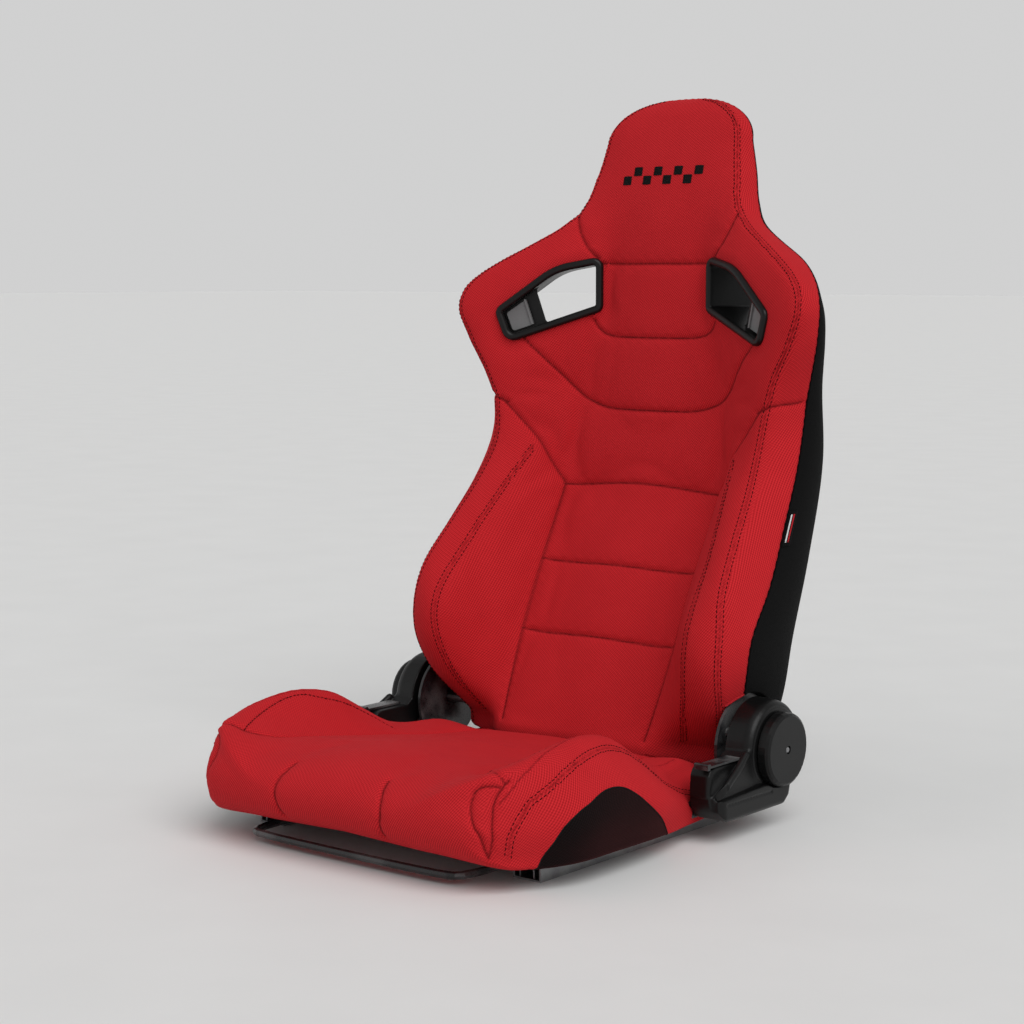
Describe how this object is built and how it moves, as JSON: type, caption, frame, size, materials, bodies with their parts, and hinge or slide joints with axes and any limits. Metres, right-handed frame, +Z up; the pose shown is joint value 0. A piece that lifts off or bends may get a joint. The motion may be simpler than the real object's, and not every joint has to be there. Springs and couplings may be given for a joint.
{
  "type": "racing seat",
  "caption": "Reclining bucket-style sports seat with high bolsters, built-in head restraint, harness slots, hand-wheel recliners and slider rails, in red cloth with a black back.",
  "frame": {"origin": "on the floor under the slider rails, midway between them and midway front to back of the whole seat", "axes": "+Z up, -Y is the way the occupant faces, +X is the occupant's left-hand side"},
  "size_m": [0.624, 0.7621, 0.925],
  "materials": {
    "red_fabric": "red woven seat cloth over foam, with a small bright-and-dark diamond weave and dark double stitching",
    "black_fabric": "black woven cloth on the back and the outer sides, matt",
    "black_plastic": "black moulded plastic with a fine satin grain",
    "grey_plastic": "mid-grey moulded plastic, satin",
    "black_steel": "black powder-coated steel, semi-gloss",
    "bare_steel": "zinc-plated steel, satin"
  },
  "bodies": {
    "floor_rails": {"lower_rail_left": "bare_steel", "lower_rail_right": "bare_steel"},
    "seat": {"upper_rail_left": "bare_steel", "upper_rail_right": "bare_steel", "pan_rail_left": "black_steel", "pan_rail_right": "black_steel", "recliner_bracket_left": "black_steel", "recliner_bracket_right": "black_steel", "recliner_cover_left": "black_plastic", "recliner_cover_right": "black_plastic", "recline_spring_left": "bare_steel", "recline_spring_right": "bare_steel", "front_cross_tube": "black_steel", "rear_cross_tube": "black_steel", "seat_cushion": "red_fabric", "seat_spring_1": "bare_steel", "seat_spring_2": "bare_steel", "seat_spring_3": "bare_steel", "seat_spring_4": "bare_steel"},
    "slider_bar": {"slider_release_bar": "black_steel"},
    "recliner_carrier": {"recliner_gear_left": "bare_steel", "recliner_gear_right": "bare_steel", "recliner_cross_shaft": "bare_steel"},
    "backrest": {"back_cushion": "red_fabric", "rear_cover": "black_fabric", "back_frame_hoop": "black_steel", "back_lower_tube": "black_steel", "back_upper_tube": "black_steel", "lumbar_spring_1": "bare_steel", "lumbar_spring_2": "bare_steel", "lumbar_spring_3": "bare_steel", "shoulder_wire_left": "black_steel", "shoulder_wire_right": "black_steel", "recliner_arm_left": "black_steel", "recliner_arm_right": "black_steel", "harness_bezel_left": "black_plastic", "harness_bezel_right": "black_plastic", "harness_rear_ring_left": "black_plastic", "harness_rear_ring_right": "black_plastic", "arm_bolt_left_1": "black_steel", "arm_bolt_left_2": "black_steel", "arm_bolt_right_1": "black_steel", "arm_bolt_right_2": "black_steel"},
    "left_wheel": {"hand_wheel_left": "black_plastic", "wheel_screw_left": "bare_steel"},
    "right_wheel": {"hand_wheel_right": "black_plastic", "wheel_screw_right": "bare_steel"},
    "left_release_lever": {"release_lever_left": "black_steel"},
    "right_release_lever": {"release_lever_right": "black_steel"},
    "left_shoulder_lever": {"shoulder_lever_left": "grey_plastic"},
    "right_shoulder_lever": {"shoulder_lever_right": "grey_plastic"}
  },
  "joints": [
    {"name": "seat_slide", "type": "slide", "parent": "floor_rails", "child": "seat", "axis": [0, -1, 0], "range_m": [-0.09, 0.09]},
    {"name": "slider_release", "type": "hinge", "parent": "seat", "child": "slider_bar", "pos_m": [0, -0.235, 0.0125], "axis": [-1, 0, 0], "range_deg": [0, 5], "stiffness_Nm_per_rad": 3},
    {"name": "recline", "type": "hinge", "parent": "seat", "child": "recliner_carrier", "pos_m": [0, 0.124, 0.1], "axis": [-1, 0, 0], "range_deg": [-5, 45]},
    {"name": "fold_forward", "type": "hinge", "parent": "recliner_carrier", "child": "backrest", "pos_m": [0, 0.124, 0.1], "axis": [1, 0, 0], "range_deg": [0, 45]},
    {"name": "left_wheel_turn", "type": "hinge", "parent": "seat", "child": "left_wheel", "pos_m": [0, 0.124, 0.1], "axis": [-1, 0, 0], "range_deg": [-121, 1081]},
    {"name": "right_wheel_turn", "type": "hinge", "parent": "seat", "child": "right_wheel", "pos_m": [0, 0.124, 0.1], "axis": [-1, 0, 0], "range_deg": [-121, 1081]},
    {"name": "left_release", "type": "hinge", "parent": "seat", "child": "left_release_lever", "pos_m": [0, 0.048, 0.0995], "axis": [-1, 0, 0], "range_deg": [0, 15], "stiffness_Nm_per_rad": 0.6},
    {"name": "right_release", "type": "hinge", "parent": "seat", "child": "right_release_lever", "pos_m": [0, 0.048, 0.0995], "axis": [-1, 0, 0], "range_deg": [0, 15], "stiffness_Nm_per_rad": 0.6},
    {"name": "left_shoulder_pull", "type": "hinge", "parent": "backrest", "child": "left_shoulder_lever", "pos_m": [0.21366, 0.21515, 0.63], "axis": [0.2755, -0.1374, 0.9514], "range_deg": [0, 20], "stiffness_Nm_per_rad": 0.4},
    {"name": "right_shoulder_pull", "type": "hinge", "parent": "backrest", "child": "right_shoulder_lever", "pos_m": [-0.21366, 0.21515, 0.63], "axis": [0.2755, 0.1374, -0.9514], "range_deg": [0, 20], "stiffness_Nm_per_rad": 0.4}
  ],
  "couplings": [
    {"joint": "left_wheel_turn", "follows": "recline", "ratio": 24},
    {"joint": "right_wheel_turn", "follows": "recline", "ratio": 24}
  ]
}
